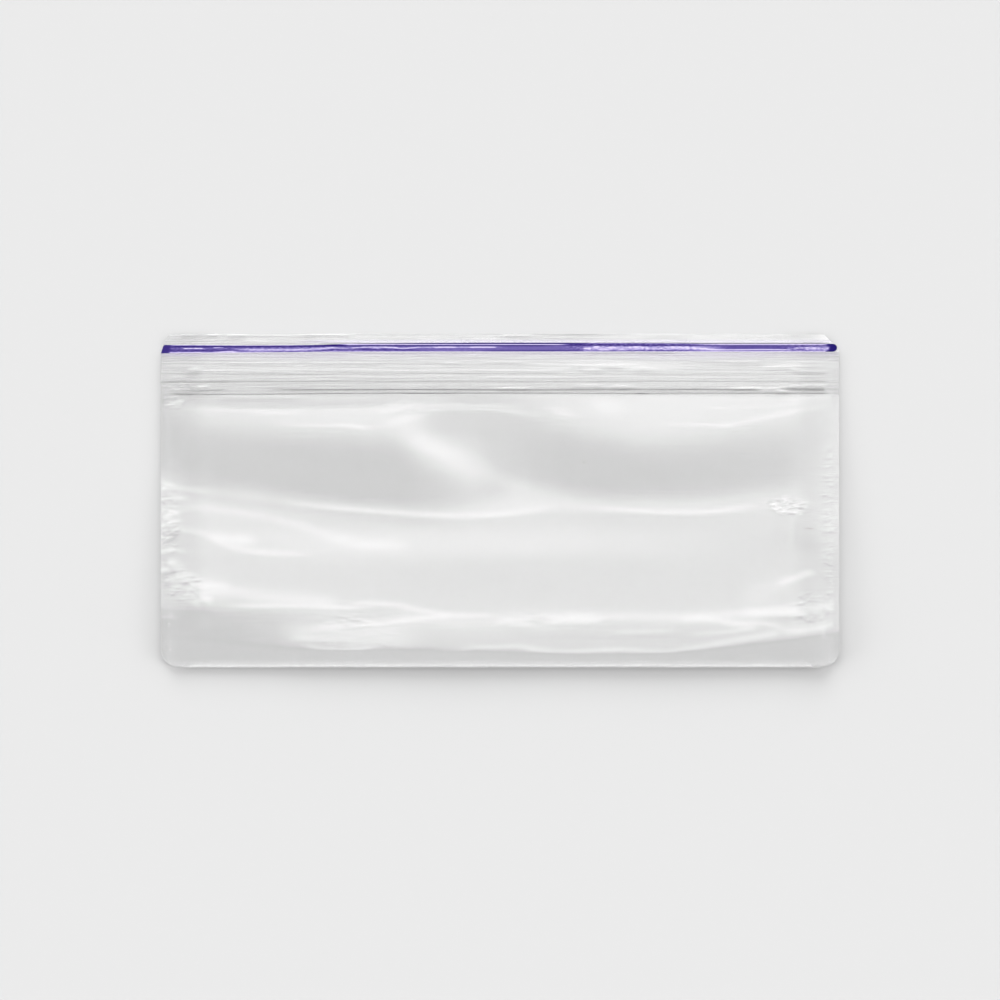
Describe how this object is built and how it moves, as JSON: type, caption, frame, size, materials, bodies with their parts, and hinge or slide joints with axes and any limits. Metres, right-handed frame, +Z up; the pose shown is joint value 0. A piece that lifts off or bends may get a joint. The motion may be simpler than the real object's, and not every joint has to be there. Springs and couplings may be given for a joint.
{
  "type": "resealable plastic bag",
  "caption": "Flat clear resealable bag, empty and pressed shut, with a violet press-seal strip above a clear one; keeps snacks fresh.",
  "frame": {"origin": "centre of the bag's footprint on the surface it lies on", "axes": "+X along the bag's width, +Y from the bottom fold towards the lips, +Z up, out of the shown face"},
  "size_m": [0.168, 0.0826, 0.0032],
  "materials": {
    "clear_film": "clear polyethylene film, glossy, soft folds",
    "violet_strip": "translucent violet polyethylene, ribbed, darker at the crushed ends",
    "clear_strip": "clear polyethylene rib, glossy"
  },
  "bodies": {
    "root": {"film_bag": "clear_film", "closure_colour": "violet_strip", "closure_clear": "clear_strip"}
  },
  "joints": []
}
